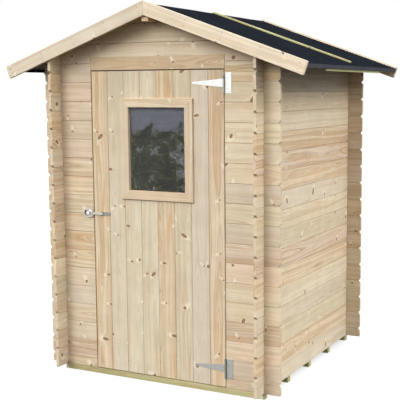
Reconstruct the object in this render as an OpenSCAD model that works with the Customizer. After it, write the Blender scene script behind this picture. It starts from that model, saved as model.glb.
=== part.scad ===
// Garden shed of interlocking spruce logs, with a felted pitched roof and one glazed door.
// The origin is on the ground at the middle of the plan. The front faces -Y and +Z is up.

/* [Logs] */
// Thickness of a wall log and of a door board
log_t = 19; // [17:1:24]
// Height that one log covers in the wall
log_h = 114; // [108:1:120]
// Length that every log runs on past the wall it crosses
log_end = 100; // [80:5:120]
// Whole logs in a side wall
courses = 17; // [17:1:18]
// Cut-back of a log's end at its top and bottom corners
end_clip = 14; // [6:1:20]
// Bevel along the edges of a log, which makes the V of each joint
edge_v = 2.5; // [1:0.5:4]

/* [Plan] */
// Width over the outer faces of the side walls
shed_w = 1390; // [1350:10:1500]
// Depth over the outer faces of the front and back walls
shed_d = 1390; // [1300:10:1700]

/* [Base] */
// Number of bearers under the shed
bearers = 5; // [3:1:6]
// Width of a bearer
bearer_w = 40; // [38:1:60]
// Height of a bearer
bearer_h = 35; // [30:1:60]
// Thickness of the floor boards
floor_t = 19; // [16:1:24]
// Number of floor boards, which run from front to back
floor_boards_n = 12; // [10:1:14]

/* [Roof] */
// Pitch of both slopes, in degrees
roof_pitch = 19.6; // [18:0.1:21]
// Overhang of the roof boards past the side walls
eave_over = 295; // [250:1:320]
// Thickness of the roof boards
roof_t = 16; // [14:1:20]
// Number of roof boards on each slope
roof_boards_n = 14; // [12:1:18]
// Thickness of the roofing felt
felt_t = 3; // [2:0.5:4]
// Width of a barge board, square to its length
barge_w = 76; // [70:1:95]
// Thickness of a barge board
barge_t = 19; // [16:1:24]
// Height of a barge board's upper edge over the felt
barge_up = 12; // [5:0.5:16]
// Width of the battens on the felt
batten_w = 26; // [20:1:40]
// Thickness of those battens
batten_t = 10; // [8:1:16]
// Width of the battens under the eaves
eave_batten_w = 36; // [30:1:40]
// Thickness of the battens under the eaves
eave_batten_t = 16; // [12:1:20]
// Width of the ridge purlin
purlin_w = 44; // [40:1:60]

/* [Door] */
// Width of the doorway
doorway_w = 908; // [860:2:940]
// Height of the door's upper edge above the underside of the walls
door_top = 1834; // [1820:1:1838]
// Gap all round the door
door_gap = 5; // [5:1:6]
// Height of the header board over the door
header_h = 77; // [70:1:85]

/* [Window] */
// Width of the window between its frame members
window_w = 382; // [340:1:384]
// Height of the window between its frame members
window_h = 492; // [420:1:494]
// Height of the window's lower edge above the underside of the walls
window_z = 1129; // [1120:1:1150]
// Width of a window frame member
frame_w = 54; // [40:1:60]
// Thickness of the window frame on the face of the door
frame_t = 12; // [9:1:15]
// Thickness of the pane
glass_t = 4; // [3:1:5]

/* [Ironmongery] */
// Length of a hinge strap from its pin to its tip
strap_l = 204; // [160:1:230]
// Height of the hinge's wall plate
plate_h = 115; // [100:1:130]
// Thickness of the hinge and hasp plates
iron_t = 2.5; // [2:0.5:3]
// Height of the hasp's ring
ring_d = 53; // [50:1:56]
// Diameter of the padlock hole through the post
padlock_d = 9; // [7:0.5:9]

/* [Hidden] */

half_w = shed_w / 2;
half_d = shed_d / 2;
wall_z = bearer_h;

// Tongue and groove, with the play that lets one log drop onto the next
tongue_w = 6;
tongue_h = 5;
groove_w = 7;
groove_h = 6;
notch_play = 0.5;
notch_h = log_h / 4;
over = 1;

// A side wall starts with a whole log and a front or back wall with half a log
side_z = [for (i = [0 : courses - 1]) wall_z + i * log_h];
front_z = [for (i = [0 : courses + 1]) wall_z + log_h / 2 + i * log_h];
door_logs = courses - 1;

// The roof's underside leaves the outer face of a side wall this far above its last joint
eave_rise = 4.5;
// Play between a batten and the sloping face that it is nailed to
batten_play = 0.02;
slope = tan(roof_pitch);
eave_z = wall_z + courses * log_h + eave_rise;
apex_z = eave_z + half_w * slope;
roof_x = half_w + eave_over;
roof_s = (roof_x - roof_t * sin(roof_pitch)) / cos(roof_pitch);
roof_y = half_d + log_end;
cover_t = roof_t + felt_t;
felt_seam_y = 50;
felt_under = 46;
eave_batten_l = 956;
eave_batten_in = 5;
roof_batten_s = roof_s - 68;
barge_n = cover_t + barge_up;
barge_s = roof_s + felt_t + 1;

// The door hangs on the right, seen from the front
door_x = doorway_w / 2 - door_gap;
door_y = -half_d;
door_z = wall_z + door_gap;
door_h = door_top - door_gap;
door_boards_n = ceil(2 * door_x / log_h);
door_board_x = -door_x - 1;
header_z = wall_z + door_top + door_gap + 1;
header_gap = 2;
post_w = 45;
post_t = 28;
floor_y = 25;
floor_in = 2;
ledge_w = 90;
ledge_t = 22;
ledge_in = 19;
fitting_z = [wall_z + 117, wall_z + 975, wall_z + 1760];

// The window's frame has a lip that reaches into the boards and holds the pane
window_x = door_board_x + 4 * log_h;
lip_w = 10;
lip_out = 9;
lip_in = log_t - lip_out - glass_t;
pane_play = 1;

// T hinges: the pin stands in front of the gap beside the door
pin_x = doorway_w / 2 - door_gap / 2;
pin_r = 3;
pin_play = 0.05;
knuckle_r = 5.5;
knuckle_off = 0.5;
pin_y = door_y - knuckle_r - knuckle_off;
plate_w = 46;
strap_root = 49;
strap_tip = 12;
knuckle_gap = 0.5;

// Hasp: a leaf on the door, a strap with a ring, and a post on the wall
hasp_z = fitting_z[1];
hasp_x = -388;
hasp_r = 4;
hasp_pin_r = 2;
hasp_y = door_y - 5;
leaf_l = 59;
leaf_h = 23;
neck_h = 15;
ring_x = -488;
ring_half = 11.5;
ring_hole_d = 38;
post_x = -483;
post_d = 28;
post_neck = 22;
post_flat = 24;
post_dome_r = 17;
bore_out = 16;

// Outline of a log or board across its length: thickness along x, height along y
function board_outline(h, groove, tongue) = concat(
    [[0, edge_v], [edge_v, 0]],
    groove ? [[log_t / 2 - groove_w / 2, 0], [log_t / 2 - groove_w / 2, groove_h],
              [log_t / 2 + groove_w / 2, groove_h], [log_t / 2 + groove_w / 2, 0]] : [],
    [[log_t - edge_v, 0], [log_t, edge_v], [log_t, h - edge_v], [log_t - edge_v, h]],
    tongue ? [[log_t / 2 + tongue_w / 2, h], [log_t / 2 + tongue_w / 2, h + tongue_h],
              [log_t / 2 - tongue_w / 2, h + tongue_h], [log_t / 2 - tongue_w / 2, h]] : [],
    [[edge_v, h], [0, h - edge_v]]
);

// A point s down the slope from the ridge and n above the underside of the roof boards
function on_slope(s, n) = [
    s * cos(roof_pitch) + n * sin(roof_pitch),
    apex_z - s * sin(roof_pitch) + n * cos(roof_pitch)
];

// A strip of the right slope, with its upper end cut plumb at the ridge and its lower end cut square
function slope_strip(n0, n1, s_end) = [
    on_slope(-n0 * slope, n0), on_slope(s_end, n0), on_slope(s_end, n1), on_slope(-n1 * slope, n1)
];

function mirrored(points) = [for (i = [len(points) - 1 : -1 : 0]) [-points[i][0], points[i][1]]];

// Extrudes an outline drawn in X and Z from y0 to y1
module along_y(y0, y1) {
    translate([0, y1, 0]) rotate([90, 0, 0]) linear_extrude(height = y1 - y0) children();
}

module under_roof() {
    along_y(-roof_y - over, roof_y + over)
        polygon([[-2 * half_w, 0], [2 * half_w, 0], [2 * half_w, apex_z - 2 * half_w * slope],
                 [0, apex_z], [-2 * half_w, apex_z - 2 * half_w * slope]]);
}

// A log along +X from x0 to x1 with its underside at z 0. Each entry of crossings is where a wall
// that it crosses begins, and free ends have clipped corners. low_joint and high_joint say if another
// log of the same wall lies under or over it, and low_notch if one of the crossed wall lies under it.
module log_piece(x0, x1, h, crossings, free_ends, low_joint = true, high_joint = true, low_notch = true) {
    clip_side = end_clip * sqrt(2);
    difference() {
        translate([x0, 0, 0]) rotate([90, 0, 90])
            linear_extrude(height = x1 - x0) polygon(board_outline(h, low_joint, high_joint));
        for (x = crossings) {
            if (low_notch) translate([x - notch_play, -over, -over])
                cube([log_t + 2 * notch_play, log_t + 2 * over, notch_h + over]);
            if (high_joint) translate([x - notch_play, -over, h - notch_h])
                cube([log_t + 2 * notch_play, log_t + 2 * over, notch_h + tongue_h + over]);
        }
        for (x = free_ends) {
            if (low_joint) translate([x, log_t / 2, 0]) rotate([0, 45, 0])
                cube([clip_side, log_t + 2 * over, clip_side], center = true);
            if (high_joint) {
                translate([x, log_t / 2, h]) rotate([0, 45, 0])
                    cube([clip_side, log_t + 2 * over, clip_side], center = true);
                translate([x, log_t / 2, h + tongue_h])
                    cube([2 * end_clip, log_t, 2 * tongue_h], center = true);
            }
        }
    }
}

// Places a log of the right wall, drawn along X, to run from front to back
module side_place(side, z) {
    mirror([side < 0 ? 1 : 0, 0, 0]) translate([half_w, 0, z]) rotate([0, 0, 90]) children();
}

// Every other log of a side wall: parity 0 gives the odd ones, counted from the ground
module side_logs(side, parity) {
    top = courses - 1;
    for (i = [parity : 2 : top])
        if (i < top)
            side_place(side, side_z[i])
                log_piece(-half_d - log_end, half_d + log_end, log_h, [-half_d, half_d - log_t],
                          [-half_d - log_end, half_d + log_end], low_joint = i > 0);
        else
            intersection() {
                side_place(side, side_z[i]) top_side_log();
                under_roof();
            }
}

// The highest log of a side wall is taller, is bevelled to the roof and takes the gable log in a notch
module top_side_log() {
    difference() {
        log_piece(-half_d - log_end, half_d + log_end, log_h + eave_rise + log_t * slope + edge_v,
                  [-half_d, half_d - log_t],
                  [-half_d - log_end, half_d + log_end], high_joint = false);
        for (x = [-half_d, half_d - log_t])
            translate([x - notch_play, -over, log_h - notch_h])
                cube([log_t + 2 * notch_play, log_t + 2 * over, log_h]);
    }
}

// The half log at the foot of a front or back wall, from x0 to x1
module foot_log(y, x0, x1, crossings, free_ends) {
    translate([0, y, wall_z])
        log_piece(x0, x1, log_h / 2, crossings, free_ends, low_joint = false, low_notch = false);
}

// A whole-width log of a gable wall, cut to the roof
module gable_log(y, i) {
    intersection() {
        translate([0, y, front_z[i]])
            log_piece(-half_w - log_end, half_w + log_end, log_h, [-half_w, half_w - log_t],
                      [-half_w - log_end, half_w + log_end]);
        under_roof();
    }
}

// The log under the peak loses its tongue where the ridge purlin stands on it
module high_gable_log(y) {
    difference() {
        gable_log(y, courses);
        translate([-purlin_w / 2 - notch_play, y - over, front_z[courses + 1]])
            cube([purlin_w + 2 * notch_play, log_t + 2 * over, tongue_h + over]);
    }
}

// Two small pieces fill the peak, one on each side of the ridge purlin
module gable_peak(y) {
    h = apex_z - front_z[courses + 1] + over;
    intersection() {
        difference() {
            translate([0, y, front_z[courses + 1]])
                log_piece(-half_w, half_w, h, [], [], high_joint = false);
            translate([-purlin_w / 2, y - over, wall_z]) cube([purlin_w, log_t + 2 * over, apex_z]);
        }
        under_roof();
    }
}

// Every other log beside the doorway: the foot log counts as the first
module front_side_logs(side, parity) {
    mirror([side < 0 ? 1 : 0, 0, 0]) {
        if (parity == 0)
            foot_log(door_y, doorway_w / 2, half_w + log_end, [half_w - log_t], [half_w + log_end]);
        for (i = [1 - parity : 2 : door_logs - 1])
            translate([0, door_y, front_z[i]])
                log_piece(doorway_w / 2, half_w + log_end, log_h, [half_w - log_t], [half_w + log_end]);
    }
}

module back_logs(parity) {
    y = half_d - log_t;
    if (parity == 0)
        foot_log(y, -half_w - log_end, half_w + log_end, [-half_w, half_w - log_t],
                 [-half_w - log_end, half_w + log_end]);
    for (i = [1 - parity : 2 : courses])
        if (i < courses) gable_log(y, i);
        else high_gable_log(y);
}

module left_wall_logs_odd() { color("burlywood") side_logs(-1, 0); }
module left_wall_logs_even() { color("wheat") side_logs(-1, 1); }
module right_wall_logs_odd() { color("burlywood") side_logs(1, 0); }
module right_wall_logs_even() { color("wheat") side_logs(1, 1); }
module back_wall_logs_odd() { color("burlywood") back_logs(0); }
module back_wall_logs_even() { color("wheat") back_logs(1); }
module back_gable_peak() { color("wheat") gable_peak(half_d - log_t); }
module front_left_logs_odd() { color("burlywood") front_side_logs(-1, 0); }
module front_left_logs_even() { color("wheat") front_side_logs(-1, 1); }
module front_right_logs_odd() { color("burlywood") front_side_logs(1, 0); }
module front_right_logs_even() { color("wheat") front_side_logs(1, 1); }
module front_gable_log() { color("wheat") high_gable_log(door_y); }
module front_gable_peak() { color("burlywood") gable_peak(door_y); }

// The first whole-width log of the front, notched over the door's header
module front_log_over_door() {
    color("burlywood") difference() {
        gable_log(door_y, door_logs);
        translate([-doorway_w / 2, door_y - over, front_z[door_logs] - over])
            cube([doorway_w, log_t + 2 * over, header_z + header_h - front_z[door_logs] + over]);
    }
}

module door_header() {
    color("wheat") translate([-doorway_w / 2 + header_gap, door_y, header_z])
        cube([doorway_w - 2 * header_gap, log_t, header_h]);
}

// A post behind the cut ends of the logs keeps them in line beside the doorway
module door_post(side) {
    top = front_z[door_logs] + 0.75 * log_h;
    color("wheat") mirror([side < 0 ? 1 : 0, 0, 0])
        translate([doorway_w / 2 + 2, door_y + log_t, wall_z + floor_t])
            cube([post_w, post_t, top - wall_z - floor_t]);
}

module door_post_left() { door_post(-1); }
module door_post_right() { door_post(1); }

module bearers() {
    color("darkkhaki") for (i = [0 : bearers - 1])
        translate([-half_w, -half_d + i * (shed_d - bearer_w) / (bearers - 1), 0])
            cube([shed_w, bearer_w, bearer_h]);
}

module floor_boards() {
    board_gap = 1;
    inner_x = half_w - log_t - floor_in;
    pitch = 2 * inner_x / floor_boards_n;
    color("wheat") for (i = [0 : floor_boards_n - 1])
        translate([-inner_x + i * pitch + board_gap / 2, -half_d + floor_y, wall_z])
            cube([pitch - board_gap, shed_d - floor_y - log_t - floor_in, floor_t]);
}

module ridge_purlin() {
    shoulder_z = apex_z - purlin_w / 2 * slope;
    color("wheat") along_y(-roof_y, roof_y)
        polygon([[-purlin_w / 2, front_z[courses + 1]], [purlin_w / 2, front_z[courses + 1]],
                 [purlin_w / 2, shoulder_z], [0, apex_z], [-purlin_w / 2, shoulder_z]]);
}

module roof_boards(side) {
    board_gap = 1;
    pitch = 2 * roof_y / roof_boards_n;
    color("wheat") mirror([side < 0 ? 1 : 0, 0, 0]) for (i = [0 : roof_boards_n - 1])
        along_y(-roof_y + i * pitch + (i > 0 ? board_gap : 0), -roof_y + (i + 1) * pitch)
            polygon(slope_strip(0, roof_t, roof_s));
}

module roof_boards_left() { roof_boards(-1); }
module roof_boards_right() { roof_boards(1); }

// Felt lies over both slopes in one sheet and is folded round the ends of the roof boards
module felt(y0, y1) {
    upper = [on_slope(roof_s + felt_t, cover_t), on_slope(roof_s + felt_t, -felt_t),
             on_slope(roof_s - felt_under, -felt_t)];
    lower = [on_slope(roof_s - felt_under, 0), on_slope(roof_s, 0), on_slope(roof_s, roof_t)];
    color("darkslategray") along_y(y0, y1)
        polygon(concat([on_slope(-cover_t * slope, cover_t)], upper, lower,
                       [on_slope(-roof_t * slope, roof_t)], mirrored(lower), mirrored(upper)));
}

module felt_front() { felt(-roof_y, felt_seam_y); }
module felt_rear() { felt(felt_seam_y, roof_y); }

// A batten nailed over the seam of the felt, from the ridge to near the eave
module roof_batten(side) {
    color("darkseagreen") mirror([side < 0 ? 1 : 0, 0, 0])
        along_y(felt_seam_y - batten_w / 2, felt_seam_y + batten_w / 2)
            polygon(slope_strip(cover_t + batten_play, cover_t + batten_t, roof_batten_s));
}

module roof_batten_left() { roof_batten(-1); }
module roof_batten_right() { roof_batten(1); }

// A batten under the ends of the roof boards ties them together and holds the fold of the felt
module eave_batten(side) {
    s1 = roof_s - eave_batten_in;
    s0 = s1 - eave_batten_w;
    color("darkseagreen") mirror([side < 0 ? 1 : 0, 0, 0]) along_y(-eave_batten_l / 2, eave_batten_l / 2)
        polygon([on_slope(s0, -felt_t - eave_batten_t), on_slope(s1, -felt_t - eave_batten_t),
                 on_slope(s1, -felt_t - batten_play), on_slope(s0, -felt_t - batten_play)]);
}

module eave_batten_left() { eave_batten(-1); }
module eave_batten_right() { eave_batten(1); }

module barge(side, y0) {
    color("antiquewhite") mirror([side < 0 ? 1 : 0, 0, 0]) along_y(y0, y0 + barge_t)
        polygon(slope_strip(barge_n - barge_w, barge_n, barge_s));
}

module barge_front_left() { barge(-1, -roof_y - barge_t); }
module barge_front_right() { barge(1, -roof_y - barge_t); }
module barge_rear_left() { barge(-1, roof_y); }
module barge_rear_right() { barge(1, roof_y); }

// Every other board of the door, with the window cut out of them
module door_boards(parity) {
    cut_w = window_w + 2 * lip_w + 2 * pane_play;
    cut_h = window_h + 2 * lip_w + 2 * pane_play;
    difference() {
        for (i = [parity : 2 : door_boards_n - 1]) {
            x0 = max(-door_x, door_board_x + i * log_h);
            x1 = min(door_x, door_board_x + (i + 1) * log_h);
            outline = board_outline(x1 - x0, i > 0, i < door_boards_n - 1);
            translate([x0, door_y, door_z])
                linear_extrude(height = door_h) polygon([for (p = outline) [p[1], p[0]]]);
        }
        translate([window_x - cut_w / 2, door_y - over, wall_z + window_z - lip_w - pane_play])
            cube([cut_w, log_t + 2 * over, cut_h]);
    }
}

module door_boards_odd() { color("burlywood") door_boards(0); }
module door_boards_even() { color("wheat") door_boards(1); }

// Three ledges across the inside hold the boards together
module door_ledges() {
    color("wheat") for (z = fitting_z)
        translate([-door_x + ledge_in, door_y + log_t, z - ledge_w / 2])
            cube([2 * (door_x - ledge_in), ledge_t, ledge_w]);
}

// A box around the window, wider than the clear opening by margin on every side
module window_box(y0, y1, margin) {
    translate([window_x - window_w / 2 - margin, y0, wall_z + window_z - margin])
        cube([window_w + 2 * margin, y1 - y0, window_h + 2 * margin]);
}

// A frame of one face board and the lip behind it, from the face at y_face to the pane at y_pane
module window_frame(y_front, y_face, y_pane) {
    color("wheat") difference() {
        union() {
            window_box(min(y_front, y_face), max(y_front, y_face), frame_w);
            window_box(min(y_face, y_pane), max(y_face, y_pane), lip_w);
        }
        window_box(min(y_front, y_pane) - over, max(y_front, y_pane) + over, 0);
    }
}

module window_frame_outside() { window_frame(door_y - frame_t, door_y, door_y + lip_out); }
module window_frame_inside() {
    window_frame(door_y + log_t + frame_t, door_y + log_t, door_y + log_t - lip_in);
}

module window_glass() {
    color("slategray", 0.5)
        window_box(door_y + lip_out, door_y + lip_out + glass_t, lip_w - pane_play);
}

// The wall half of a T hinge, with two knuckles that hold the pin
module hinge_plate(z) {
    gap_h = strap_root + 2 * knuckle_gap;
    knuckle_h = (plate_h - gap_h) / 2;
    color("gainsboro") translate([pin_x, 0, z]) {
        difference() {
            translate([0, door_y - iron_t, -plate_h / 2]) cube([plate_w, iron_t, plate_h]);
            translate([-over, door_y - iron_t - over, -gap_h / 2])
                cube([knuckle_r + 2 * knuckle_gap + over, iron_t + 2 * over, gap_h]);
        }
        for (z0 = [-plate_h / 2, gap_h / 2])
            translate([0, pin_y, z0]) cylinder(r = knuckle_r, h = knuckle_h, $fn = 48);
        translate([0, pin_y, -plate_h / 2]) cylinder(r = pin_r, h = plate_h, $fn = 48);
    }
}

module hinge_plate_top() { hinge_plate(fitting_z[2]); }
module hinge_plate_bottom() { hinge_plate(fitting_z[0]); }

// The door half of a T hinge: one knuckle and a strap that tapers to a round tip
module hinge_strap(z) {
    taper_l = strap_l - strap_tip / 2;
    color("gainsboro") translate([pin_x, 0, z]) difference() {
        union() {
            along_y(door_y - iron_t, door_y) {
                polygon([[0, -strap_root / 2], [0, strap_root / 2],
                         [-taper_l, strap_tip / 2], [-taper_l, -strap_tip / 2]]);
                translate([-taper_l, 0]) circle(d = strap_tip, $fn = 48);
            }
            translate([0, pin_y, -strap_root / 2]) cylinder(r = knuckle_r, h = strap_root, $fn = 48);
        }
        translate([0, pin_y, -plate_h / 2]) cylinder(r = pin_r + pin_play, h = plate_h, $fn = 48);
    }
}

module hinge_strap_top() { hinge_strap(fitting_z[2]); }
module hinge_strap_bottom() { hinge_strap(fitting_z[0]); }

// The leaf of the hasp, screwed to the door, with two knuckles and their pin
module hasp_leaf() {
    knuckle_h = (leaf_h - neck_h) / 2;
    color("silver") translate([hasp_x, 0, hasp_z]) {
        difference() {
            translate([0, door_y - iron_t, -leaf_h / 2]) cube([leaf_l, iron_t, leaf_h]);
            translate([-over, door_y - iron_t - over, -neck_h / 2])
                cube([hasp_r + 2 * over, iron_t + 2 * over, neck_h]);
        }
        for (z0 = [-leaf_h / 2, neck_h / 2])
            translate([0, hasp_y, z0]) cylinder(r = hasp_r, h = knuckle_h, $fn = 48);
        translate([0, hasp_y, -leaf_h / 2]) cylinder(r = hasp_pin_r, h = leaf_h, $fn = 48);
    }
}

// Outline of the hasp's ring, or of the hole in it
module ring_outline(d) {
    translate([ring_x - ring_half, -d / 2]) square([2 * ring_half, d]);
    for (x = [-ring_half, ring_half]) translate([ring_x + x, 0]) circle(d = d, $fn = 64);
}

// The strap of the hasp, with the long ring that drops over the post
module hasp_strap() {
    strap_h = neck_h - 2 * knuckle_gap;
    front_y = hasp_y - hasp_r;
    color("silver") translate([0, 0, hasp_z]) difference() {
        union() {
            along_y(front_y, front_y + iron_t) {
                translate([ring_x, -strap_h / 2]) square([hasp_x - ring_x, strap_h]);
                ring_outline(ring_d);
            }
            translate([hasp_x, hasp_y, -strap_h / 2]) cylinder(r = hasp_r, h = strap_h, $fn = 48);
        }
        along_y(front_y - over, front_y + iron_t + over) ring_outline(ring_hole_d);
        translate([hasp_x, hasp_y, -leaf_h / 2])
            cylinder(r = hasp_pin_r + pin_play, h = leaf_h, $fn = 48);
    }
}

// The post on the wall: a foot, a neck with two flats, a dome and a hole for a padlock
module hasp_post() {
    dome_drop = sqrt(pow(post_dome_r, 2) - pow(post_d / 2, 2));
    color("silver") translate([post_x, door_y, hasp_z]) rotate([90, 0, 0]) {
        cylinder(d = post_d + 8, h = iron_t, $fn = 64);
        difference() {
            intersection() {
                union() {
                    cylinder(d = post_d, h = post_neck - dome_drop, $fn = 64);
                    intersection() {
                        translate([0, 0, post_neck - dome_drop]) sphere(r = post_dome_r, $fn = 64);
                        cylinder(d = post_d, h = 2 * post_neck, $fn = 64);
                    }
                }
                translate([-post_flat / 2, -post_d, 0]) cube([post_flat, 2 * post_d, 2 * post_neck]);
            }
            translate([-post_d, 0, bore_out]) rotate([0, 90, 0])
                cylinder(d = padlock_d, h = 2 * post_d, $fn = 48);
        }
    }
}

bearers();
floor_boards();
left_wall_logs_odd();
left_wall_logs_even();
right_wall_logs_odd();
right_wall_logs_even();
back_wall_logs_odd();
back_wall_logs_even();
back_gable_peak();
front_left_logs_odd();
front_left_logs_even();
front_right_logs_odd();
front_right_logs_even();
front_log_over_door();
front_gable_log();
front_gable_peak();
door_header();
door_post_left();
door_post_right();
ridge_purlin();
roof_boards_left();
roof_boards_right();
felt_front();
felt_rear();
roof_batten_left();
roof_batten_right();
eave_batten_left();
eave_batten_right();
barge_front_left();
barge_front_right();
barge_rear_left();
barge_rear_right();
hinge_plate_top();
hinge_plate_bottom();
hasp_post();
door_boards_odd();
door_boards_even();
door_ledges();
window_frame_outside();
window_frame_inside();
window_glass();
hinge_strap_top();
hinge_strap_bottom();
hasp_leaf();
hasp_strap();
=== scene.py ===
"""The looks of a small log-built garden shed: timber, felt, glass and ironmongery on the fixed frame."""
import math
import random

import bmesh
import bpy
from mathutils import Matrix, Vector


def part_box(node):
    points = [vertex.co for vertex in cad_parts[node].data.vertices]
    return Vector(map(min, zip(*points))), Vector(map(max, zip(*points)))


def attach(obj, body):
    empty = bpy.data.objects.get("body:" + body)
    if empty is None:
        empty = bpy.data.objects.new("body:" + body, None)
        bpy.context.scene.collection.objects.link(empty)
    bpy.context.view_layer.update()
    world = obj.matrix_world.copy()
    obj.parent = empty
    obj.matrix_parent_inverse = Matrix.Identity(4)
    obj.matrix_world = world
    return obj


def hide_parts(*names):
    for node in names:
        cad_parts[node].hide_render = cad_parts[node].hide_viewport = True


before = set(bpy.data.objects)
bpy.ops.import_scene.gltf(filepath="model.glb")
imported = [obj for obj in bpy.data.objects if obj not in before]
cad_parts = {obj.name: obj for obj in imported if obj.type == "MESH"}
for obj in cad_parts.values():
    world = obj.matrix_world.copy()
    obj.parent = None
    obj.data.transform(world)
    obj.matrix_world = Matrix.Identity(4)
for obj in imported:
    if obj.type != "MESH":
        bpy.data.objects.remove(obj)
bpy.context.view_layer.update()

# ---------------------------------------------------------------------------------------------
# Bearers: five sawn battens of pine, pressure treated to an olive green, laid flat on the ground
# from side to side. The walls and the floor are nailed down to them.
# ---------------------------------------------------------------------------------------------
board_cover = 0.114  # what each log and each door board covers, without its tongue
iron_t = 0.0025  # sheet steel of the hinges and the hasp
up = Vector((0, 0, 1))


def paint(red, green, blue):
    """A colour given as it looks, 0 to 255 a channel."""
    tone = [c / 255 for c in (red, green, blue)]
    return [c / 12.92 if c <= 0.04045 else ((c + 0.055) / 1.055) ** 2.4 for c in tone] + [1.0]


def wire(tree, kind, sockets, **settings):
    """A shader node whose sockets are filled with numbers or joined to other nodes' outputs."""
    node = tree.nodes.new("ShaderNode" + kind)
    for key, value in settings.items():
        setattr(node, key, value)
    for key, value in sockets.items():
        if isinstance(value, bpy.types.NodeSocket):
            tree.links.new(value, node.inputs[key])
        else:
            node.inputs[key].default_value = value
    return node


def reckon(tree, how, a, b=0.0, c=0.0):
    """One step of arithmetic on shader values."""
    return wire(tree, "Math", {0: a, 1: b, 2: c}, operation=how).outputs[0]


def times(tree, a, b):
    return reckon(tree, "MULTIPLY", a, b)


def plus(tree, a, b):
    return reckon(tree, "ADD", a, b)


def vector(tree, how, *given, out="Vector"):
    """One step of arithmetic on places or directions."""
    return wire(tree, "VectorMath", dict(enumerate(given)), operation=how).outputs[out]


def part(tree, place, axis):
    """One coordinate of a place or direction: 0, 1 or 2."""
    return wire(tree, "SeparateXYZ", {0: place}).outputs[axis]


def scaled(tree, tone, level):
    """A colour made darker or lighter."""
    return wire(tree, "VectorMath", {0: tone, "Scale": level}, operation="SCALE").outputs[0]


def noise(tree, place, scale, detail=2.0, rough=0.5, twist=0.0):
    """Soft random mottling: Fac is one value, Color three."""
    return wire(tree, "TexNoise", {"Vector": place, "Scale": scale, "Detail": detail,
                                   "Roughness": rough, "Distortion": twist})


def spread(tree, value, low, high, to_low=0.0, to_high=1.0, smooth=True):
    """Value's stretch from low to high, laid over another stretch."""
    kind = "SMOOTHSTEP" if smooth else "LINEAR"
    return wire(tree, "MapRange", {"Value": value, "From Min": low, "From Max": high,
                                   "To Min": to_low, "To Max": to_high},
                interpolation_type=kind).outputs[0]


def blended(tree, amount, a, b, how="MIX"):
    """The colour a with some of b laid over it."""
    node = wire(tree, "Mix", {0: amount}, data_type="RGBA", blend_type=how)
    for socket, value in ((node.inputs[6], a), (node.inputs[7], b)):
        if isinstance(value, bpy.types.NodeSocket):
            tree.links.new(value, socket)
        else:
            socket.default_value = value
    return node.outputs[2]


def ramp(tree, value, stops):
    """Colours by value, from a list of places and colours."""
    node = wire(tree, "ValToRGB", {"Fac": value})
    band = node.color_ramp
    while len(band.elements) < len(stops):
        band.elements.new(0.5)
    for element, (place, tone) in zip(band.elements, stops):
        element.position = place
        element.color = tone
    return node


def fresh(name):
    """A new material and its shader tree."""
    material = bpy.data.materials.new(name)
    material.use_nodes = True
    return material, material.node_tree


def knots_in(tree, grain, hue, knots):
    """Knots: branches that cross the board, one or none in each stretch of it, some cut lengthwise. Gives
    where there is one, how far off its middle and its halo are, and how far it pushes the rings aside."""
    cell = Vector((0.21, 0.085, 1.0))  # along and across the board, in metres
    lattice = vector(tree, "MULTIPLY", grain, [1 / c for c in cell])
    found = wire(tree, "TexVoronoi", {"Vector": lattice, "Scale": 1.0, "Randomness": 0.9},
                 voronoi_dimensions="2D", feature="F1")
    offset = vector(tree, "SUBTRACT", lattice, found.outputs["Position"])
    offset = vector(tree, "MULTIPLY", offset, (cell.x, cell.y, 0.0))
    ragged = noise(tree, grain, 140.0, 2.0).outputs["Color"]
    ragged = vector(tree, "SUBTRACT", ragged, (0.5, 0.5, 0.5))
    offset = vector(tree, "MULTIPLY_ADD", ragged, (0.005, 0.004, 0.0), offset)
    draw = wire(tree, "SeparateColor", {0: found.outputs["Color"]})
    own = reckon(tree, "FRACT", times(tree, hue, 7.31))
    often = spread(tree, own, 0.0, 1.0, 1.0 - 0.45 * knots, 1.0 - 1.5 * knots, smooth=False)
    is_knot = reckon(tree, "GREATER_THAN", draw.outputs[0], often)
    least, more = 0.0038, 0.0065
    size = reckon(tree, "MULTIPLY_ADD", reckon(tree, "POWER", draw.outputs[1], 2.0), more, least)
    lean = reckon(tree, "FRACT", times(tree, draw.outputs[0], 37.0))
    lean = spread(tree, lean, 0.0, 1.0, -0.75, 0.75, smooth=False)
    branch = wire(tree, "CombineXYZ", {0: reckon(tree, "SINE", lean),
                                       1: reckon(tree, "COSINE", lean)}).outputs[0]
    beside = vector(tree, "CROSS_PRODUCT", branch, (0, 0, 1))
    out = vector(tree, "DOT_PRODUCT", offset, branch, out="Value")
    off = vector(tree, "DOT_PRODUCT", offset, beside, out="Value")
    slim = spread(tree, draw.outputs[2], 0.48, 0.60, 1.0, 0.48)
    reach = wire(tree, "CombineXYZ", {0: off, 1: times(tree, out, slim)}).outputs[0]
    knot_at = reckon(tree, "DIVIDE", vector(tree, "LENGTH", reach, out="Value"), size)
    beyond = reckon(tree, "MULTIPLY_ADD", out, 0.5, -0.010)
    reach = wire(tree, "CombineXYZ", {0: off, 1: beyond}).outputs[0]
    halo_at = reckon(tree, "DIVIDE", vector(tree, "LENGTH", reach, out="Value"), size)
    pushed = reckon(tree, "EXPONENT", times(tree, reckon(tree, "POWER", knot_at, 2.0), -0.14))
    pushed = times(tree, times(tree, pushed, size), times(tree, is_knot, 2.2))
    return is_knot, knot_at, halo_at, pushed


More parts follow.
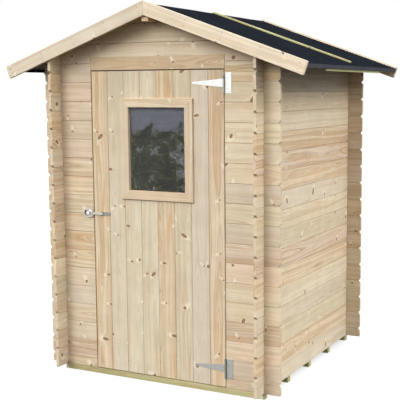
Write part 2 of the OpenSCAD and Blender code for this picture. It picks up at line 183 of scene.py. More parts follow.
def rings_in(tree, grain, heart, hue, pushed):
    """Yearly rings, by the distance from the heart of the tree, which wanders along the board. Gives the
    good and bad years in broad bands, and the dark wood at the end of each year."""
    wander = 0.055
    years_per_m = 210.0
    slow = vector(tree, "MULTIPLY", grain, (1.3, 7.0, 7.0))
    drift = noise(tree, slow, 1.0, 2.0, 0.45)
    drift = vector(tree, "SUBTRACT", drift.outputs["Color"], (0.5, 0.5, 0.5))
    centre = wire(tree, "CombineXYZ", {0: heart.outputs[0], 1: heart.outputs[1]}).outputs[0]
    centre = vector(tree, "MULTIPLY_ADD", drift, (wander, wander, 0.0), centre)
    centre = vector(tree, "MULTIPLY", centre, (1.0, 1.0, 0.0))
    radius = vector(tree, "LENGTH", centre, out="Value")
    radius = plus(tree, radius, pushed)
    seasons = wire(tree, "CombineXYZ", {0: times(tree, part(tree, grain, 0), 0.35),
                                        1: times(tree, radius, 55.0),
                                        2: times(tree, hue, 40.0)}).outputs[0]
    bands = noise(tree, seasons, 1.0, 3.0, 0.6).outputs["Fac"]
    year = reckon(tree, "MULTIPLY_ADD", radius, years_per_m, times(tree, bands, 5.0))
    year = reckon(tree, "FRACT", year)
    latewood = times(tree, spread(tree, year, 0.35, 0.9), spread(tree, year, 1.0, 0.93))
    return bands, latewood


def timber(name, pale, late, tints, knots=0.35, streaks=0.5, half_cover=board_cover / 2, joint=0.2,
           streak_tone=(209, 175, 136), contrast=1.0, painted_shade=None, gloss=0.28):
    """Softwood cut from a log: yearly rings round a wandering heart, knots that push them aside, warm
    streaks, and a tone of its own on each board."""
    material, tree = fresh(name)
    shader = tree.nodes["Principled BSDF"]
    grain = wire(tree, "Attribute", {}, attribute_name="grain").outputs["Vector"]
    heart = wire(tree, "Attribute", {}, attribute_name="heart").outputs["Vector"]
    heart = wire(tree, "SeparateXYZ", {0: heart})
    board = wire(tree, "Attribute", {}, attribute_name="board").outputs["Color"]
    board = wire(tree, "SeparateColor", {0: board})
    cut = wire(tree, "Attribute", {}, attribute_name="cut").outputs["Fac"]

    # Where the knots and rings run, and the dark wood and resin that follow them
    is_knot, knot_at, halo_at, pushed = knots_in(tree, grain, board.outputs[0], knots)
    bands, latewood = rings_in(tree, grain, heart, board.outputs[0], pushed)
    figure = spread(tree, board.outputs[2], 0.0, 1.0, 0.60, 1.35, smooth=False)
    depth = times(tree, spread(tree, bands, 0.36, 0.72), 0.52 * contrast)
    depth = plus(tree, depth, times(tree, latewood, 0.36 * contrast))
    tone = blended(tree, times(tree, depth, figure), paint(*pale), paint(*late))
    resin = spread(tree, reckon(tree, "ABSOLUTE", reckon(tree, "SUBTRACT", bands, 0.53)), 0.022, 0.004)
    resin = times(tree, resin, spread(tree, board.outputs[2], 0.4, 1.0, 0.12, 0.55 * contrast))
    tone = blended(tree, resin, tone, paint(184, 147, 111))

    # Warm streaks and fine fibres along the grain
    long_way = vector(tree, "MULTIPLY", grain, (1.6, 27.0, 27.0))
    warm = noise(tree, long_way, 1.0, 4.0, 0.6, twist=0.5).outputs["Fac"]
    warm = times(tree, spread(tree, warm, 0.50, 0.68), times(tree, board.outputs[2], streaks))
    tone = blended(tree, warm, tone, paint(*streak_tone))
    fine = vector(tree, "MULTIPLY", grain, (26.0, 620.0, 620.0))
    fibre = noise(tree, fine, 1.0, 2.0).outputs["Fac"]
    soft = noise(tree, grain, 9.0, 3.0).outputs["Fac"]
    level = plus(tree, spread(tree, fibre, 0.3, 0.7, -0.035, 0.035),
                 spread(tree, soft, 0.3, 0.7, 0.955, 1.035))
    level = times(tree, level, spread(tree, board.outputs[1], 0.0, 1.0, 0.92, 1.05, smooth=False))
    # Slanted cuts, such as the cut-back corners at the log ends, are painted 27 % darker: painted shade
    # in the notches where the logs cross
    slanted = times(tree, spread(tree, cut, 0.2, 0.4), spread(tree, cut, 0.98, 0.88))
    level = times(tree, level, reckon(tree, "MULTIPLY_ADD", slanted, -0.27, 1.0))
    steps = [(i / (len(tints) - 1), paint(*tint)) for i, tint in enumerate(tints)]
    tone = blended(tree, 1.0, tone, ramp(tree, board.outputs[0], steps).outputs["Color"],
                   how="MULTIPLY")
    tone = scaled(tree, tone, level)

    # The knots' own colours, from the heart of the branch to the pale wood beside it
    halo = times(tree, spread(tree, halo_at, 2.9, 0.5, 0.0, 0.65), is_knot)
    tone = blended(tree, halo, tone, paint(238, 226, 203))
    knot = ramp(tree, times(tree, knot_at, 0.4), [
        (0.0, paint(172, 134, 104)), (0.16, paint(156, 118, 90)), (0.31, paint(118, 88, 66)),
        (0.40, paint(150, 116, 88)), (0.50, paint(190, 158, 126)), (0.72, paint(212, 188, 155))])
    cover = times(tree, spread(tree, knot_at, 1.6, 1.0), is_knot)
    tone = blended(tree, cover, tone, knot.outputs["Color"])

    # Shade and dust in the V between one board and the next
    if joint:
        edge = reckon(tree, "SUBTRACT", 1.0, reckon(tree, "ABSOLUTE", heart.outputs[2]))
        edge = times(tree, edge, half_cover)
        tone = blended(tree, spread(tree, edge, 0.0032, 0.0014, 0.0, joint), tone, paint(132, 100, 72))
    # Where one is given, a function lays painted shade over the tone
    tree.links.new(painted_shade(tree, tone) if painted_shade else tone, shader.inputs["Base Color"])
    rough = spread(tree, fibre, 0.3, 0.7, 0.60, 0.72)
    rough = reckon(tree, "SUBTRACT", rough, times(tree, cover, 0.16))
    tree.links.new(rough, shader.inputs["Roughness"])
    shader.inputs["Specular IOR Level"].default_value = gloss
    relief = plus(tree, times(tree, latewood, 0.35), times(tree, fibre, 0.4))
    relief = plus(tree, relief, times(tree, cover, 0.5))
    bump = wire(tree, "Bump", {"Height": relief, "Strength": 0.35, "Distance": 0.0006}).outputs[0]
    tree.links.new(bump, shader.inputs["Normal"])
    return material


def loose(node):
    """A copy of one solid of the frame, with its corners joined and its flat faces whole."""
    work = bmesh.new()
    work.from_mesh(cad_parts[node].data)
    bmesh.ops.remove_doubles(work, verts=work.verts, dist=1e-5)
    bmesh.ops.dissolve_limit(work, angle_limit=math.radians(1), verts=work.verts, edges=work.edges)
    return work


def lengths(work):
    """The separate boards of a mesh, as lists of corners."""
    left = set(work.verts)
    found = []
    for start in work.verts:
        if start in left:
            left.discard(start)
            group = [start]
            for corner in group:
                for edge in corner.link_edges:
                    other = edge.other_vert(corner)
                    if other in left:
                        left.discard(other)
                        group.append(other)
            found.append(group)
    return found


def grain_layers(work):
    """Where a mesh keeps its place in the grain, its place from the heart, and its board's tone."""
    kept = work.verts.layers
    return kept.float_vector.new("grain"), kept.float_vector.new("heart"), kept.float_color.new("board")


def eased(work, verts, arris):
    """Takes the sharp edges off one board."""
    inside = set(verts)
    sharp = [e for e in work.edges if e.verts[0] in inside and len(e.link_faces) == 2
             and e.calc_face_angle(0) > math.radians(35) and e.calc_length() > 3 * arris]
    made = bmesh.ops.bevel(work, geom=sharp, offset=arris, offset_type="OFFSET", segments=2,
                           profile=0.6, affect="EDGES", clamp_overlap=True)
    added = [v for v in made["verts"] if v.is_valid and v not in inside]
    return [v for v in verts if v.is_valid] + added


def sawn(node, material, body, arris=0.0008, slip=0.0, pick=None):
    """Makes one node's boards of real timber: eased edges, and grain that follows each board. pick gives
    a board's hue, brightness and figure by its middle."""
    work = loose(node)
    grain, heart, board = grain_layers(work)
    cut = work.faces.layers.float.new("cut")
    vee = 0.0025  # how far the face falls short of the joint, on each side
    for k, verts in enumerate(lengths(work)):
        chance = random.Random(f"{node} {k}")
        # The edges and faces stay in one order, so that a tie between two is always settled alike
        edges = list(dict.fromkeys(e for v in verts for e in v.link_edges))
        longest = max(edges, key=lambda e: e.calc_length())
        along = (longest.verts[1].co - longest.verts[0].co).normalized()
        along = -along if along.dot(Vector((1, 1, 1))) < 0 else along
        faces = list(dict.fromkeys(f for v in verts for f in v.link_faces
                                   if abs(f.normal.dot(along)) < 0.1))
        widest = max(faces, key=lambda f: f.calc_area())
        thick = widest.normal.copy()
        across = thick.cross(along)
        reach = [v.co.dot(across) for v in widest.verts]
        middle = (min(reach) + max(reach)) / 2
        half = (max(reach) - min(reach)) / 2 + vee
        depth = [v.co.dot(thick) for v in verts]
        outside = max(depth)
        away = (chance.uniform(-0.9, 0.9) * half, -chance.uniform(0.012, 0.07))
        shift = Vector([chance.uniform(0, 40) for _ in range(3)])
        tone = (chance.random(), chance.random(), chance.random())
        if pick:
            tone = pick(sum((v.co for v in verts), Vector()) / len(verts))
        verts = eased(work, verts, arris)
        slide = along * chance.uniform(-slip, slip)
        for v in verts:
            u, a, w = v.co.dot(along), v.co.dot(across) - middle, v.co.dot(thick) - outside
            v[grain] = Vector((u, a, w)) + shift
            v[heart] = Vector((a - away[0], w - away[1], a / half))
            v[board] = (*tone, 1.0)
            v.co += slide
        for f in {f for v in verts for f in v.link_faces}:
            f.normal_update()
            f[cut] = abs(f.normal.dot(along))
    return laid(node + "_timber", work, material, body, node)


def laid(name, work, material, body, *nodes, slot=None):
    """Turns finished mesh work into a piece that rides on its body and stands for its nodes."""
    mesh = bpy.data.meshes.new(name)
    work.to_mesh(mesh)
    work.free()
    mesh.materials.append(material)
    piece = bpy.data.objects.new(name, mesh)
    bpy.context.scene.collection.objects.link(piece)
    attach(piece, body)
    if nodes:
        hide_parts(*nodes)
    return piece


green_pine = timber("green_treated_pine", (200, 190, 143), (166, 154, 108),
                    [(255, 255, 255), (236, 244, 226), (250, 240, 220)],
                    knots=0.3, joint=0.0, streaks=0.3, streak_tone=(160, 140, 92))
sawn("bearers", green_pine, "shed", arris=0.0015)

# ---------------------------------------------------------------------------------------------
# Floor boards: planed spruce, laid from front to back across the bearers and nailed to each.
# They show only through the open door.
# ---------------------------------------------------------------------------------------------
inside_tints = [(255, 255, 255), (255, 246, 230), (250, 244, 240)]
floor_spruce = timber("floor_spruce", (222, 206, 182), (194, 168, 132), inside_tints, knots=0.45,
                      half_cover=0.056)
sawn("floor_boards", floor_spruce, "shed", arris=0.001)


def pieces_of(node):
    """Lowest and highest corner of each separate board of a node, in order from low to high."""
    work = loose(node)
    found = []
    for verts in lengths(work):
        spans = [[v.co[axis] for v in verts] for axis in range(3)]
        found.append([Vector(map(min, spans)), Vector(map(max, spans))])
    work.free()
    return sorted(found, key=lambda pair: tuple(pair[0]))


def plated(name, tone, rough, speckle, knuckle=None):
    """Plated steel with the faint spangle and handling marks of a zinc or chrome bath. Faces that look up
    are painted lighter and faces that look down darker: painted light and shade. Metal that stands out in
    front of the door's flat plates, such as a rolled knuckle, is painted darker by the factor knuckle:
    painted shade and reflection on its curve."""
    material, tree = fresh(name)
    shader = tree.nodes["Principled BSDF"]
    spot = wire(tree, "TexCoord", {}).outputs["Object"]
    spangle = wire(tree, "TexVoronoi", {"Vector": spot, "Scale": 170.0}, voronoi_dimensions="3D")
    spangle = wire(tree, "SeparateColor", {0: spangle.outputs["Color"]}).outputs[0]
    marks = noise(tree, spot, 60.0, 5.0, 0.7).outputs["Fac"]
    dark = [c * 0.8 for c in paint(*tone)[:3]] + [1.0]
    mix = reckon(tree, "MULTIPLY_ADD", spangle, speckle, spread(tree, marks, 0.35, 0.7, 0.0, 0.35))
    skin = blended(tree, mix, paint(*tone), dark)
    # A rolled knuckle in front of the plates is painted darker: painted shade and reflection on its curve
    if knuckle:
        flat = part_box("door_boards_even")[0].y - iron_t
        rolled = spread(tree, part(tree, spot, 1), flat - 0.0010, flat - 0.0016)
        skin = blended(tree, rolled, skin, [c * knuckle for c in dark[:3]] + [1.0])
    # Faces that look up are painted lighter and faces that look down darker: painted light and shade
    level = part(tree, wire(tree, "NewGeometry", {}).outputs["Normal"], 2)
    level = spread(tree, level, -0.7, 0.7, 0.55, 1.15)
    skin = scaled(tree, skin, level)
    tree.links.new(skin, shader.inputs["Base Color"])
    tree.links.new(spread(tree, marks, 0.3, 0.7, rough - 0.05, rough + 0.10),
                   shader.inputs["Roughness"])
    shader.inputs["Metallic"].default_value = 1.0
    bump = wire(tree, "Bump", {"Height": marks, "Strength": 0.12, "Distance": 0.0004}).outputs[0]
    tree.links.new(bump, shader.inputs["Normal"])
    return material


def heads(name, places, facing, radius, material, body, slot="zinc_plate", rise=0.3, cross=True):
    """Screw heads, domed with a cross recess, or plain nail heads. facing points out of the wood."""
    work = bmesh.new()
    turn = up.rotation_difference(facing.normalized()).to_matrix().to_4x4()
    count = 12
    angles = [2 * math.pi * i / count for i in range(count)]
    for k, place in enumerate(places):
        chance = random.Random(f"{name} {k}")
        spin = Matrix.Rotation(chance.uniform(0, math.pi), 4, "Z")
        dome = [(1.0, 0.0), (0.97, 0.55 * rise), (0.80, 0.85 * rise), (0.52, rise)]
        rings = [([r] * count, z) for r, z in dome]
        if cross:
            arms = [0.46 if i % 3 == 0 else 0.17 for i in range(count)]
            rings += [(arms, rise), (arms, rise * 0.2)]
        placed = Matrix.Translation(place) @ turn @ spin @ Matrix.Scale(radius, 4)
        loops = [[work.verts.new(placed @ Vector((r * math.cos(turned), r * math.sin(turned), z)))
                  for r, turned in zip(reach, angles)] for reach, z in rings]
        for lower, upper in zip(loops, loops[1:]):
            for i in range(count):
                work.faces.new((lower[i], lower[(i + 1) % count], upper[(i + 1) % count], upper[i]))
        work.faces.new(loops[-1])
        work.faces.new(loops[0][::-1])
    bmesh.ops.recalc_face_normals(work, faces=work.faces)
    return laid(name, work, material, body, slot=slot)


steel = plated("nail_steel", (150, 148, 144), 0.42, 0.2)
nails = []
for low, high in pieces_of("floor_boards"):
    for under in pieces_of("bearers"):
        if low.y < under[0].y < high.y:
            middle = (under[0].y + under[1].y) / 2
            nails += [Vector((low.x + 0.022, middle + 0.006, high.z)),
                      Vector((high.x - 0.022, middle - 0.006, high.z))]
heads("floor_nails", nails, up, 0.0030, steel, "shed", rise=0.15, cross=False)

# ---------------------------------------------------------------------------------------------
# Walls: spruce logs planed to 19 mm, each with a tongue and a groove, notched to cross at the
# corners, with the four corners of each end cut back. Every log keeps the colour of its own tree.
# ---------------------------------------------------------------------------------------------
log_tints = [(252, 250, 243), (255, 251, 238), (252, 244, 238), (246, 243, 239), (255, 247, 232),
             (249, 247, 234), (255, 253, 244), (250, 242, 236)]
log_spruce = timber("log_spruce", (224, 210, 190), (195, 173, 144), log_tints, knots=0.40, joint=0.3,
                    streaks=0.6, contrast=1.15)
# Hue, brightness and figure of the right wall's logs, from the lowest up
side_picks = [(0.0, 0.5, 0.3), (0.57, 0.6, 0.95), (0.71, 0.5, 0.35), (0.0, 0.3, 0.5),
              (0.86, 0.7, 0.2), (0.57, 0.5, 0.85), (0.29, 0.4, 1.0), (0.71, 0.5, 0.3),
              (0.14, 0.6, 0.45), (0.0, 0.4, 0.25), (0.57, 0.6, 0.7), (0.29, 0.5, 1.0),
              (0.57, 0.4, 0.9), (0.86, 0.6, 0.4), (0.14, 0.5, 0.3), (0.0, 0.4, 0.6), (0.43, 0.3, 0.4)]
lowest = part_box("right_wall_logs_odd")[0].z
for turn in ("odd", "even"):
    sawn(f"right_wall_logs_{turn}", log_spruce, "shed", slip=0.0012,
         pick=lambda middle: side_picks[int((middle.z - lowest) / board_cover)])
    sawn(f"left_wall_logs_{turn}", log_spruce, "shed", slip=0.0012)
    for side in ("left", "right"):
        sawn(f"front_{side}_logs_{turn}", log_spruce, "shed", slip=0.0008)
for node in ("back_wall_logs_odd", "back_wall_logs_even", "back_gable_peak", "front_log_over_door",
             "front_gable_log", "front_gable_peak"):
    sawn(node, log_spruce, "shed")

# ---------------------------------------------------------------------------------------------
# Doorway: a planed header board over the door, and a post inside on each side, screwed to the
# cut ends of the logs.
# ---------------------------------------------------------------------------------------------
inward, outward = Vector((0, 1, 0)), Vector((0, -1, 0))
trim_tints = [(255, 252, 246), (255, 249, 238), (253, 246, 240)]
trim_spruce = timber("trim_spruce", (212, 195, 170), (184, 160, 130), trim_tints, knots=0.45, joint=0.0,
                     streaks=0.5, contrast=1.2)
sawn("door_header", trim_spruce, "shed", arris=0.0012)
for node in ("door_post_left", "door_post_right"):
    sawn(node, trim_spruce, "shed", arris=0.0015)
    low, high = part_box(node)
    middle = (low.x + high.x) / 2
    screws = [Vector((middle + (-1) ** k * 0.008, high.y, low.z + 0.06 + 2 * board_cover * k))
              for k in range(9)]
    screws = [v for v in screws if v.z < high.z - 0.02]
    heads(node + "_screws", screws, inward, 0.0042, steel, "shed")
low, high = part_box("door_header")
screws = [Vector((x, low.y, (low.z + high.z) / 2))
          for x in (low.x + 0.03, (low.x + high.x) / 2, high.x - 0.03)]
heads("door_header_screws", screws, outward, 0.0036, steel, "shed")

# ---------------------------------------------------------------------------------------------
# Roof: a ridge purlin let into both gables, and planed boards nailed on it from ridge to eave.
# Past the side walls the boards are painted a brown that is nearly black: painted shade under the eaves.
# ---------------------------------------------------------------------------------------------
wall_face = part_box("right_wall_logs_odd")[1].x


def painted_eave_shade(tree, tone):
    """Painted shade under the eaves, a nearly black brown, with a ragged edge just outside the wall."""
    spot = wire(tree, "TexCoord", {}).outputs["Object"]
    shade_edge_noise = noise(tree, spot, 30.0, 3.0).outputs["Fac"]
    out = reckon(tree, "ABSOLUTE", part(tree, spot, 0))
    out = reckon(tree, "MULTIPLY_ADD", shade_edge_noise, 0.012, out)
    return blended(tree, spread(tree, out, wall_face + 0.012, wall_face + 0.020), tone,
                   paint(66, 53, 37))


roof_spruce = timber("roof_spruce", (226, 210, 186), (198, 172, 138), inside_tints, knots=0.4,
                     half_cover=0.056, painted_shade=painted_eave_shade, gloss=0.02)
sawn("ridge_purlin", roof_spruce, "shed")
for side in ("left", "right"):
    sawn(f"roof_boards_{side}", roof_spruce, "shed")

# ---------------------------------------------------------------------------------------------
# Roofing felt: bitumen sheet with a fine slate grit, blue-black, laid over the ridge and folded
# down over the ends of the boards, where the grit opens and shows paler.
# ---------------------------------------------------------------------------------------------
felt_black, tree = fresh("roofing_felt")
spot = wire(tree, "TexCoord", {}).outputs["Object"]
grit = wire(tree, "TexVoronoi", {"Vector": spot, "Scale": 620.0}, voronoi_dimensions="3D")
grey = wire(tree, "SeparateColor", {0: grit.outputs["Color"]}).outputs[0]
cloud = noise(tree, spot, 5.0, 5.0, 0.6).outputs["Fac"]
body_tone = blended(tree, spread(tree, cloud, 0.3, 0.7), paint(22, 25, 30), paint(29, 32, 38))
body_tone = blended(tree, spread(tree, grey, 0.72, 0.98, 0.0, 0.45), body_tone, paint(62, 64, 70))
body_tone = blended(tree, spread(tree, grey, 0.22, 0.02, 0.0, 0.6), body_tone, paint(10, 11, 14))
steep = part(tree, wire(tree, "NewGeometry", {}).outputs["True Normal"], 2)
fold = spread(tree, reckon(tree, "ABSOLUTE", steep), 0.7, 0.5, smooth=False)
body_tone = blended(tree, times(tree, fold, spread(tree, cloud, 0.25, 0.75, 0.7, 0.9)), body_tone,
                    paint(94, 94, 103))
felt_shader = tree.nodes["Principled BSDF"]
tree.links.new(body_tone, felt_shader.inputs["Base Color"])
tree.links.new(spread(tree, grey, 0.0, 1.0, 0.86, 1.0), felt_shader.inputs["Roughness"])
felt_shader.inputs["Specular IOR Level"].default_value = 0.0
lumps = plus(tree, times(tree, grey, 0.5), times(tree, cloud, 1.2))
tree.links.new(wire(tree, "Bump", {"Height": lumps, "Strength": 0.5, "Distance": 0.0012}).outputs[0],
               felt_shader.inputs["Normal"])

# Slight waves in the sheets, kept off their edges at the gables
for node in ("felt_front", "felt_rear"):
    work = loose(node)
    low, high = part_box(node)
    for axis, step in ((Vector((0, 1, 0)), 0.03), (Vector((1, 0, 0)), 0.036)):
        start = math.floor(low.dot(axis) / step) * step
        for i in range(1, int((high - low).dot(axis) / step) + 2):
            at = axis * (start + i * step + 0.011)
            everything = work.verts[:] + work.edges[:] + work.faces[:]
            bmesh.ops.bisect_plane(work, geom=everything, plane_co=at, plane_no=axis, dist=1e-5)
    work.normal_update()
    for v in work.verts:
        on_top = any(f.normal.z > 0.5 for f in v.link_faces)
        on_rim = any(abs(f.normal.y) > 0.9 for f in v.link_faces)
        if on_top and not on_rim:
            x, y = v.co.x, v.co.y
            wave = math.sin(5.1 * x + 2.3 * y) * math.sin(7.7 * y - 3.1 * x + 1.0)
            wave += 0.5 * math.sin(19.0 * y + 6.0 * abs(x))
            v.co.z += 0.0007 * (wave + 1.3)
    piece = laid(node + "_sheet", work, felt_black, "shed", node)
    for face in piece.data.polygons:
        face.use_smooth = abs(face.normal.z) > 0.5 and face.normal.z > 0

# ---------------------------------------------------------------------------------------------
# Felt battens and eave battens: thin strips of the same green treated pine. One is nailed down
# each slope over the lap of the felt, one under the ends of the roof boards on each side.
# ---------------------------------------------------------------------------------------------
batten_pine = timber("green_batten_pine", (206, 204, 150), (164, 160, 104),
                     [(255, 255, 255), (244, 248, 232), (250, 246, 230)],
                     knots=0.25, joint=0.0, streaks=0.25, streak_tone=(170, 150, 96))


def nailed(node, facing, count, apart=0.0):
    """Nail heads in pairs, or single, along the middle of the broad face that looks one way."""
    end = 0.045
    work = loose(node)
    face = max(work.faces, key=lambda f: f.calc_area() * f.normal.dot(facing))
    middle, out = face.calc_center_median(), face.normal.copy()
    longest = max(face.edges, key=lambda e: e.calc_length())
    run = longest.verts[1].co - longest.verts[0].co
    run *= 1 - 2 * end / run.length
    aside = out.cross(run).normalized() * apart / 2
    work.free()
    sides = (-1, 1) if apart else (0,)
    places = [middle + run * (k / (count - 1) - 0.5) + turn * aside for k in range(count)
              for turn in sides]
    return heads(node + "_nails", places, out, 0.0028, steel, "shed", rise=0.15, cross=False)


for kind, facing in (("roof", up), ("eave", -up)):
    for side in ("left", "right"):
        sawn(f"{kind}_batten_{side}", batten_pine, "shed", arris=0.001)
        nailed(f"{kind}_batten_{side}", facing, 5)

# ---------------------------------------------------------------------------------------------
# Barge boards: planed spruce over both gable ends, cut plumb where they meet at the ridge and
# square at the eaves, screwed to the ends of the roof boards.
# ---------------------------------------------------------------------------------------------
barge_spruce = timber("barge_spruce", (227, 216, 199), (207, 187, 160),
                      [(255, 252, 246), (255, 250, 240), (254, 248, 242)],
                      knots=0.45, joint=0.0, streaks=0.6, contrast=1.1)
for end, facing in (("front", outward), ("rear", inward)):
    # The left barge boards are painted a little darker and the right ones lighter: painted light, as if
    # lit from the right
    for side, light in (("left", 0.0), ("right", 1.0)):
        node = f"barge_{end}_{side}"
        sawn(node, barge_spruce, "shed", arris=0.0015, pick=lambda middle: (0.3, light, 0.45))
        nailed(node, facing, 5, apart=0.036)

# ---------------------------------------------------------------------------------------------
# Door: eight upright spruce boards joined by tongue and groove, with three ledges screwed
# across the inside. Cheaper timber than the logs: more knots, and reddish or grey boards.
# ---------------------------------------------------------------------------------------------
door_tints = [(246, 246, 240), (255, 248, 236), (243, 243, 238), (252, 244, 234), (250, 249, 242),
              (240, 237, 235), (255, 251, 243)]
door_spruce = timber("door_spruce", (225, 212, 191), (197, 176, 146), door_tints, knots=0.5,
                     streaks=0.95, joint=0.17)
# Hue, brightness and figure of the eight boards, from the lock side to the hinges
door_picks = [(0.18, 0.5, 0.95), (0.34, 0.6, 0.35), (0.66, 0.4, 0.45), (0.02, 0.6, 0.5),
              (0.18, 0.4, 0.9), (0.68, 0.4, 0.6), (0.84, 0.7, 0.1), (0.50, 0.5, 1.0)]
lock_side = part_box("door_boards_odd")[0].x
for turn in ("odd", "even"):
    sawn(f"door_boards_{turn}", door_spruce, "door",
         pick=lambda middle: door_picks[int((middle.x - lock_side) / board_cover)])
sawn("door_ledges", door_spruce, "door")
screws = []
for low, high in pieces_of("door_ledges"):
    for k in range(8):
        for edge in (-0.028, 0.028):
            x = lock_side + board_cover * (k + 0.5) + edge
            if x < high.x - 0.01:
                screws.append(Vector((x, high.y, (low.z + high.z) / 2 - edge)))
heads("door_ledge_screws", screws, inward, 0.0040, steel, "door")

# ---------------------------------------------------------------------------------------------
# Window: four planed strips on each face of the door, mitred at the corners, with a lip behind
# them that reaches into the boards and grips one pane of 4 mm glass.
# ---------------------------------------------------------------------------------------------
window_spruce = timber("window_spruce", (222, 207, 186), (203, 181, 153), trim_tints, knots=0.12,
                       joint=0.0, streaks=0.4)


def mitred(node):
    """Four members around the pane, from the node's own sizes. Their lip covers the pane's edge, and
    their front edges are rounded."""
    low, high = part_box(node)
    glass_low, glass_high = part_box("window_glass")
    face_low, face_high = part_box("door_boards_even")
    outside = low.y < face_low.y
    front = low.y if outside else high.y
    seat = face_low.y if outside else face_high.y
    pane = glass_low.y if outside else glass_high.y
    out = 1 if outside else -1
    lip, ease, gap, tucked = 0.010, 0.0025, 0.0002, 0.009
    inner_low = Vector((glass_low.x + tucked, 0, glass_low.z + tucked))
    inner_high = Vector((glass_high.x - tucked, 0, glass_high.z - tucked))
    wide = inner_low.x - low.x
    rounded, soft = out * ease * 0.35, ease * 0.35
    profile = [(0.0, front + out * ease), (soft, front + rounded), (ease, front), (wide - ease, front),
               (wide - soft, front + rounded), (wide, front + out * ease), (wide, seat), (lip, seat),
               (lip, pane), (0.0, pane)]
    work = bmesh.new()
    grain, heart, board = grain_layers(work)
    corners = [(inner_low.x, inner_low.z), (inner_high.x, inner_low.z), (inner_high.x, inner_high.z),
               (inner_low.x, inner_high.z)]
    corner_out = [(-1, -1), (1, -1), (1, 1), (-1, 1)]
    for k in range(4):
        chance = random.Random(f"{node} member {k}")
        (x0, z0), (x1, z1) = corners[k], corners[(k + 1) % 4]
        (a0, b0), (a1, b1) = corner_out[k], corner_out[(k + 1) % 4]
        along = Vector((x1 - x0, 0, z1 - z0)).normalized()
        rings = []
        for (x, z, a, b, tuck) in ((x0, z0, a0, b0, gap), (x1, z1, a1, b1, -gap)):
            rings.append([work.verts.new((x + a * p + along.x * tuck, y, z + b * p + along.z * tuck))
                          for p, y in profile])
        n = len(profile)
        for i in range(n):
            work.faces.new((rings[0][i], rings[0][(i + 1) % n], rings[1][(i + 1) % n], rings[1][i]))
        work.faces.new(rings[0][::-1])
        work.faces.new(rings[1])
        shift = Vector([chance.uniform(0, 40) for _ in range(3)])
        away = Vector((chance.uniform(-0.02, 0.08), chance.uniform(0.015, 0.05)))
        tone = (chance.random(), chance.random(), chance.random(), 1.0)
        side = along.cross(inward)
        base = Vector((x0, 0, z0))
        for v in rings[0] + rings[1]:
            rel = v.co - base
            u, a, w = rel.dot(along), rel.dot(side), v.co.y - front
            v[grain] = Vector((u, a, w)) + shift
            v[heart] = Vector((a - away.x, w - away.y, 0.0))
            v[board] = tone
    bmesh.ops.recalc_face_normals(work, faces=work.faces)
    return laid(node + "_mitred", work, window_spruce, "door", node)


mitred("window_frame_outside")
mitred("window_frame_inside")
low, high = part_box("window_frame_inside")
screws = [Vector((x, high.y, z)) for x in (low.x + 0.02, high.x - 0.02)
          for z in (low.z + 0.08, high.z - 0.08)]
screws += [Vector((x, high.y, z)) for x in (low.x + 0.09, high.x - 0.09)
           for z in (low.z + 0.02, high.z - 0.02)]
heads("window_frame_screws", screws, inward, 0.0036, steel, "door")

pane_glass, tree = fresh("window_pane")
clear = tree.nodes["Principled BSDF"]
clear.inputs["Transmission Weight"].default_value = 1.0
clear.inputs["IOR"].default_value = 1.29
clear.inputs["Roughness"].default_value = 0.01
clear.inputs["Base Color"].default_value = paint(214, 226, 220)
# Over the clear glass lies a matt layer of painted reflection: olive foliage in speckles, and a blue-grey
# band of sky across the top of the pane
spot = wire(tree, "TexCoord", {}).outputs["Object"]
foliage_speckle = noise(tree, spot, 84.0, 3.0, 0.7, twist=0.2).outputs["Fac"]
broad = noise(tree, spot, 9.0, 6.0, 0.7).outputs["Fac"]
height = reckon(tree, "MULTIPLY_ADD", broad, 0.42, part(tree, spot, 2))
high = spread(tree, height, 1.71, 1.76)
sky_reflection = reckon(tree, "MAXIMUM", high, spread(tree, broad, 0.555, 0.60, 0.0, 0.7))
reflection_paint = wire(tree, "BsdfDiffuse", {"Color": blended(tree, sky_reflection, paint(122, 126, 84),
                                                   paint(158, 158, 174))})
foliage_reflection = times(tree, spread(tree, foliage_speckle, 0.46, 0.66, 0.0, 0.33),
              spread(tree, broad, 0.38, 0.56, 0.12, 1.0))
foliage_reflection = times(tree, foliage_reflection, reckon(tree, "MULTIPLY_ADD", high, -0.9, 1.0))
amount = plus(tree, foliage_reflection, times(tree, sky_reflection, 0.24))
glass_and_reflection = wire(tree, "MixShader", {0: amount, 1: clear.outputs[0], 2: reflection_paint.outputs[0]})
tree.links.new(glass_and_reflection.outputs[0], tree.nodes["Material Output"].inputs["Surface"])
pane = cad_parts["window_glass"]
pane.material_slots[0].material = pane_glass

# ---------------------------------------------------------------------------------------------
# T hinges: pressed steel, bright zinc plated. The wall plate carries two knuckles and the pin,
# the long strap turns on it. Each is held by cross-headed screws.
# ---------------------------------------------------------------------------------------------


def pressed(node, material, body, ease=0.0005):
    """Metalwork of one node with its edges rounded as a press and a plating bath leave them."""
    work = loose(node)
    for verts in lengths(work):
        eased(work, verts, ease)
    return laid(node + "_plated", work, material, body, node)


# The lower hinge has a darker copy of the same bright zinc: a painted reflection, darker than the upper
# hinge's
zinc = plated("bright_zinc", (220, 220, 216), 0.34, 0.14, knuckle=0.7)
zinc_painted_dark = plated("zinc_painted_darker", (172, 171, 167), 0.42, 0.22, knuckle=0.75)
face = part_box("door_boards_even")[0].y - iron_t
for level, zinc_as_lit in (("top", zinc), ("bottom", zinc_painted_dark)):
    pressed(f"hinge_plate_{level}", zinc_as_lit, "shed")
    pressed(f"hinge_strap_{level}", zinc_as_lit, "door")
    low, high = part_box(f"hinge_plate_{level}")
    middle = (low.z + high.z) / 2
    screws = [Vector((high.x - x, face, middle + z))
              for x, z in ((0.012, 0.046), (0.026, 0.030), (0.012, -0.046), (0.026, -0.030))]
    heads(f"hinge_plate_screws_{level}", screws, outward, 0.0042, zinc_as_lit, "shed")
    low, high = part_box(f"hinge_strap_{level}")
    screws = [Vector((low.x + x, face, middle + z))
              for x, z in ((0.020, 0.0), (0.078, 0.0), (0.132, 0.007), (0.168, -0.010))]
    heads(f"hinge_strap_screws_{level}", screws, outward, 0.0042, zinc_as_lit, "door")
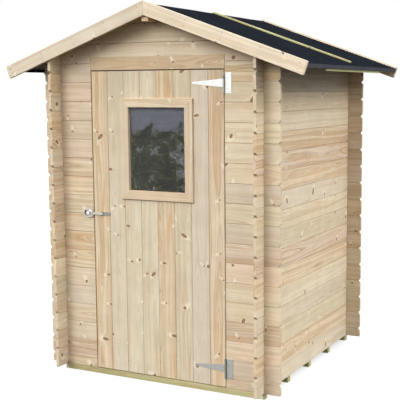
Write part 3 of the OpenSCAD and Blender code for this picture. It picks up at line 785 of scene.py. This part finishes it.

# ---------------------------------------------------------------------------------------------
# Hasp: chromed steel. The leaf is screwed to the door, and its strap ends in a ring that drops
# over a post on the wall, which takes a padlock.
# ---------------------------------------------------------------------------------------------
# One chrome in three tones: the post is a copy painted lighter and the leaf a copy painted darker, as
# painted reflections
chrome = plated("chrome", (224, 218, 204), 0.22, 0.3, knuckle=0.95)
chrome_painted_light = plated("chrome_painted_lighter", (236, 236, 242), 0.2, 0.15)
chrome_painted_dark = plated("chrome_painted_darker", (150, 147, 138), 0.3, 0.3, knuckle=0.9)
pressed("hasp_post", chrome_painted_light, "shed")
pressed("hasp_leaf", chrome_painted_dark, "door")
pressed("hasp_strap", chrome, "hasp")
low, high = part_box("hasp_leaf")
middle = (low.z + high.z) / 2
screws = [Vector((high.x - x, face, middle + z))
          for x, z in ((0.008, 0.0), (0.026, 0.006), (0.026, -0.006), (0.042, 0.0))]
heads("hasp_leaf_screws", screws, outward, 0.0032, chrome_painted_dark, "door", slot="chrome_plate")

# ---------------------------------------------------------------------------------------------
# Where it stands: a pale floor and an even, soft light from all round and above.
# ---------------------------------------------------------------------------------------------


def looked_at(tree):
    """Whether a ray comes from the camera, directly, by a reflection or through glass."""
    ray = wire(tree, "LightPath", {})
    bare = reckon(tree, "MAXIMUM", ray.outputs["Is Camera Ray"], ray.outputs["Is Glossy Ray"])
    return reckon(tree, "MAXIMUM", bare, ray.outputs["Is Transmission Ray"])


floor = bpy.data.meshes.new("floor")
floor.from_pydata([(-60, -60, 0), (60, -60, 0), (60, 60, 0), (-60, 60, 0)], [], [(0, 1, 2, 3)])
floor_piece = bpy.data.objects.new("floor", floor)
bpy.context.scene.collection.objects.link(floor_piece)
pale, tree = fresh("pale_floor")
seen = looked_at(tree)
shade = blended(tree, seen, [0.03, 0.03, 0.03, 1.0], [0.40, 0.40, 0.40, 1.0])
matt = wire(tree, "BsdfDiffuse", {"Color": shade})
glow = wire(tree, "Emission", {"Color": (1.0, 1.0, 1.0, 1.0), "Strength": times(tree, seen, 0.6)})
both = wire(tree, "AddShader", {0: matt.outputs[0], 1: glow.outputs[0]})
tree.links.new(both.outputs[0], tree.nodes["Material Output"].inputs["Surface"])
floor.materials.append(pale)

world = bpy.data.worlds.new("studio")
bpy.context.scene.world = world
world.use_nodes = True
tree = world.node_tree
seen = looked_at(tree)
height = part(tree, wire(tree, "TexCoord", {}).outputs["Generated"], 2)
soft_light = wire(tree, "Background", {"Color": (0.95, 0.98, 1.0, 1.0),
                                       "Strength": spread(tree, height, 0.0, 0.4, 0.50, 1.37)})
white = wire(tree, "Background", {"Color": (1.0, 1.0, 1.0, 1.0), "Strength": 1.0})
both = wire(tree, "MixShader", {0: seen, 1: soft_light.outputs[0], 2: white.outputs[0]})
tree.links.new(both.outputs[0], tree.nodes["World Output"].inputs["Surface"])

for name, power, angle, aim in (("front_left", 1.86, 34, Vector((0.38, 0.84, -0.50))),
                                ("front_right", 1.64, 26, Vector((-0.86, 0.04, -0.50))),
                                ("behind", 1.25, 60, Vector((0.10, -0.90, -0.40)))):
    lamp = bpy.data.lights.new(name, "SUN")
    lamp.energy = power
    lamp.angle = math.radians(angle)
    holder = bpy.data.objects.new(name, lamp)
    holder.rotation_euler = aim.to_track_quat("-Z", "Y").to_euler()
    bpy.context.scene.collection.objects.link(holder)

# The camera stands at head height, off the right front corner, and looks slightly down
yaw, pitch, roll = math.radians(26.43), math.radians(7.05), math.radians(-0.24)
ahead = Vector((-math.sin(yaw) * math.cos(pitch), math.cos(yaw) * math.cos(pitch), -math.sin(pitch)))
right = Vector((math.cos(yaw), math.sin(yaw), 0.0))
above = right.cross(ahead)
level_right = math.cos(roll) * right + math.sin(roll) * above
level_up = math.cos(roll) * above - math.sin(roll) * right
camera = bpy.data.cameras.new("camera")
camera.sensor_width = 36.0
camera.lens = 80.7
camera.shift_x = -0.10
camera.clip_end = 200.0
viewer = bpy.data.objects.new("camera", camera)
viewer.matrix_world = Matrix((level_right, level_up, -ahead)).transposed().to_4x4()
viewer.location = (2.772, -5.172, 1.760)
bpy.context.scene.collection.objects.link(viewer)
bpy.context.scene.camera = viewer
bpy.context.scene.view_settings.view_transform = "Standard"
